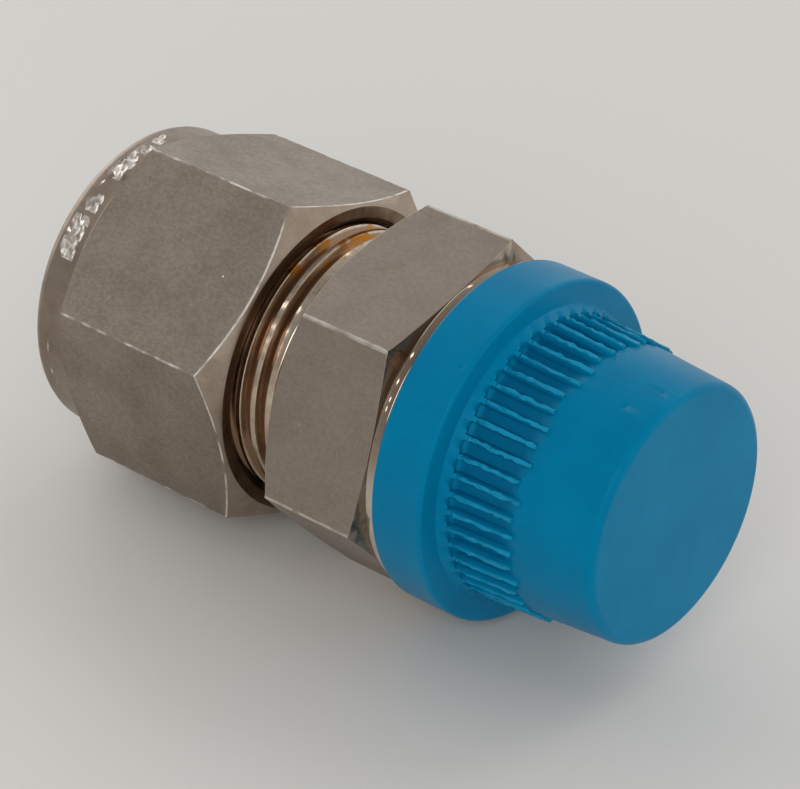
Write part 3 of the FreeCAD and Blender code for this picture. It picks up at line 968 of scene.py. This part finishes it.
# The rib colour is a painted highlight on the crests, and the groove colour is a painted shade in the grooves
capFinish = {
    "clean": (0, 122, 164), "stained": (0, 114, 156), "patch": 5.0, "spots": 0.1, "scuffed": (70, 150, 182),
    "scuffs": 0.06, "rough": 0.34, "roughSpread": 0.06, "grain": 5.0, "gloss": 0.16,
    "glossTint": (0.15, 0.8, 1.0, 1), "ribHighlightColour": (34, 156, 196), "grooveShadeColour": (0, 104, 146),
    "ribHighlightShare": 0.6, "ribMiddle": 16.8, "ribReach": 2.5,
}


def makeCapPlastic(v):
    material, tree, shader = startMaterial("mouldedBluePlastic")
    axis, stain = placeAndTone(tree, v)
    scratches = useGroup(tree, scratchGroup, {"Place": axis["Place"], "Amount": v["scuffs"]})
    colour = mixColours(tree, scratches["Mask"], stain["Color"], linear(*v["scuffed"]))
    # Painted highlight lightens the rib crests and painted shade darkens the groove floors. The height is
    # that above the barrel.
    slope = (capShape["rootRadius"] - capShape["tipRadius"]) / (capShape["frontX"] - capShape["rootX"])
    height = calculate(tree, "MULTIPLY_ADD", axis["Along"], slope, axis["Radius"])
    height = calculate(tree, "SUBTRACT", height, capShape["rootRadius"] + slope * capShape["rootX"])
    amongRibs = calculate(tree, "COMPARE", axis["Along"], v["ribMiddle"], v["ribReach"])
    crest = times(tree, rangeOf(tree, height, 0.04, 0.16), amongRibs)
    crest = times(tree, crest, v["ribHighlightShare"])
    colour = mixColours(tree, crest, colour, linear(*v["ribHighlightColour"]))
    floor = times(tree, rangeOf(tree, height, -0.30, -0.12, 1.0, 0.0), amongRibs)
    colour = mixColours(tree, floor, colour, linear(*v["grooveShadeColour"]))
    roughness = calculate(tree, "MULTIPLY_ADD", stain["Mask"], v["roughSpread"], v["rough"])
    skin = noiseOf(tree, axis["Place"], 2.2, 4.0, 0.55)
    height = times(tree, scratches["Mask"], -5.0)
    height = calculate(tree, "MULTIPLY_ADD", skin, v["grain"], height)
    connectShader(tree, shader, colour, roughness, height)
    shader.inputs["Specular IOR Level"].default_value = v["gloss"]
    shader.inputs["Specular Tint"].default_value = v["glossTint"]
    return material


finishes = {name: makeSteel(name, {**steelDefaults, **values}) for name, values in steelFinishes.items()}
finishes["mouldedBluePlastic"] = makeCapPlastic(capFinish)
print("finishes made")


# Where the finishes meet, in millimetres along the axis (X) and away from it (radius)
zones = {
    "flatRadius": 10.9, "flatLean": 0.2, "inward": 0.2, "bodyFlatX": 8.5, "bodyBoreRadius": 7.7,
    "bodyBoreX": -10.45, "pipeX": 9.52, "threadX": -0.02, "shoulderRadius": 10.2, "recessX": -5.4,
    "recessRadius": 10.79, "nutBoreRadius": 9.99,
}


def facingOf(place, normal):
    return normal.y * place.y + normal.z * place.z


def onFlat(place, normal):
    return facingOf(place, normal) > zones["flatRadius"] and abs(normal.x) < zones["flatLean"]


def bodyZone(place, normal):
    radius = radiusOf(place)
    inward = facingOf(place, normal) < zones["inward"]
    if 0.0 < place.x < zones["bodyFlatX"] and onFlat(place, normal):
        return "bodyFlatSteel"
    if radius < zones["bodyBoreRadius"] and place.x > zones["bodyBoreX"] and inward:
        return "boreSteel"
    if place.x > zones["pipeX"]:
        return "pipeSteel"
    if place.x < zones["threadX"]:
        return "threadSteel"
    if place.x > bodyShape["shoulderX"] and radius > bodyShape["shoulderFoot"]:
        return "polishedSteel"
    return "turnedSteel"


def nutZone(place, normal):
    radius = radiusOf(place)
    shoulderEnd = nutShape["rearX"] + nutShape["shoulderLength"]
    if inStamp(place):
        return "stampedSteel"
    if place.x < shoulderEnd and radius > zones["shoulderRadius"]:
        return "shoulderSteel"
    if place.x > shoulderEnd and onFlat(place, normal):
        return "nutFlatSteel"
    # The nut's front face and mouth take the darker finish, which paints the shade of the gap
    if place.x > zones["recessX"] and radius < zones["recessRadius"]:
        return "shadedRecessSteel"
    if facingOf(place, normal) < zones["inward"] and radius < zones["nutBoreRadius"]:
        return "boreSteel"
    return "turnedSteel"


bodyZones = ("bodyFlatSteel", "turnedSteel", "polishedSteel", "threadSteel", "pipeSteel", "boreSteel")
nutZones = ("nutFlatSteel", "turnedSteel", "shoulderSteel", "stampedSteel", "shadedRecessSteel", "boreSteel")
bodyPiece = makeConnectorBody(SimpleNamespace(**bodyShape))
paintFaces(bodyPiece, bodyZones, bodyZone)
nutPiece = makeNut(SimpleNamespace(**nutShape), SimpleNamespace(**nutMarks))
paintFaces(nutPiece, nutZones, nutZone)
capPiece = makeProtectiveCap(SimpleNamespace(**capShape))
capPiece.data.materials.append(finishes["mouldedBluePlastic"])
for piece, angle, weight in ((bodyPiece, 30, 95), (nutPiece, 30, 95), (capPiece, 40, 60)):
    shadeByAngle(piece, angle, weight)
finishPiece(bodyPiece, "body", "body_steel", "connector_body")
finishPiece(nutPiece, "nut", "nut_steel", "nut")
finishPiece(capPiece, "cap", "cap_plastic", "protective_cap")
for name in ("front_ferrule", "back_ferrule"):
    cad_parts[name].data.materials.clear()
    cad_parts[name].data.materials.append(finishes["ferruleSteel"])

# Floor and studio light. The lights' places and sizes are in metres.
studio = {
    "floorZ": -12.27, "floorSize": 4.0, "floorColour": (220, 217, 212), "floorRough": 0.42,
    "level": 0.74, "towardsBack": 0.24, "upwards": -0.36, "rightRange": (0.45, 0.95), "rightShare": 1.3,
    "lights": [  # Name, place, size, power
        ("keyLight", (0.15, 0.85, 0.75), (0.6, 0.6), 1.7), ("leftLight", (-0.97, 0.1, 0.32), (1.1, 0.9), 4.2),
        ("frontLight", (0.45, -0.75, 0.50), (0.7, 0.5), 3.6)],
    "lampAngles": (99.0, 131.3, 141.0, 147.2, 150.5), "lampSize": 0.055, "lampDistance": 1.2,
    "lampPowers": (0.04, 0.07, 0.055, 0.04, 0.035),
}


def makeFloor(v):
    clearSelection()
    bpy.ops.mesh.primitive_plane_add(size=v.floorSize, location=(0, 0, v.floorZ * mm))
    floor = bpy.context.object
    floor.name = "paleFloor"
    material, tree, shader = startMaterial("paleTable")
    shader.inputs["Base Color"].default_value = linear(*v.floorColour)
    shader.inputs["Roughness"].default_value = v.floorRough
    floor.data.materials.append(material)


def makeWorld(v):
    # Pale all round, brighter behind the object and to the right, and dimmer overhead
    world = bpy.data.worlds.new("studio")
    bpy.context.scene.world = world
    world.use_nodes = True
    tree = world.node_tree
    background = tree.nodes["Background"]
    ray = put(tree, "TexCoord").outputs["Generated"]
    parts = put(tree, "SeparateXYZ", {0: ray}).outputs
    level = calculate(tree, "MULTIPLY_ADD", parts[1], v.towardsBack, v.level)
    level = calculate(tree, "MULTIPLY_ADD", parts[2], v.upwards, level)
    right = rangeOf(tree, parts[0], *v.rightRange, 1.0, v.rightShare)
    level = times(tree, level, right)
    tree.links.new(level, background.inputs["Strength"])
    background.inputs["Color"].default_value = (1, 1, 1, 1)


def addSoftLight(name, place, size, power):
    light = bpy.data.lights.new(name, "AREA")
    light.shape = "RECTANGLE"
    light.size, light.size_y = size
    light.energy = power
    lamp = bpy.data.objects.new(name, light)
    bpy.context.scene.collection.objects.link(lamp)
    lamp.location = place
    lamp.rotation_euler = (-Vector(place)).to_track_quat("-Z", "Y").to_euler()


def addSparkLamps(v):
    # Small weak lamps up to the left, which the turned steel shows as bright points at the given angles
    camera = Vector(cameraView["place"]).normalized()
    for index, (angle, power) in enumerate(zip(v.lampAngles, v.lampPowers)):
        normal = outwardAt(angle)
        ray = 2 * normal.dot(camera) * normal - camera
        addSoftLight("sparkLamp" + str(index), ray * v.lampDistance, (v.lampSize, v.lampSize), power)


room = SimpleNamespace(**studio)
makeFloor(room)
makeWorld(room)
for light in room.lights:
    addSoftLight(*light)
addSparkLamps(room)
bpy.context.scene.view_settings.view_transform = "Standard"
print("studio lit")
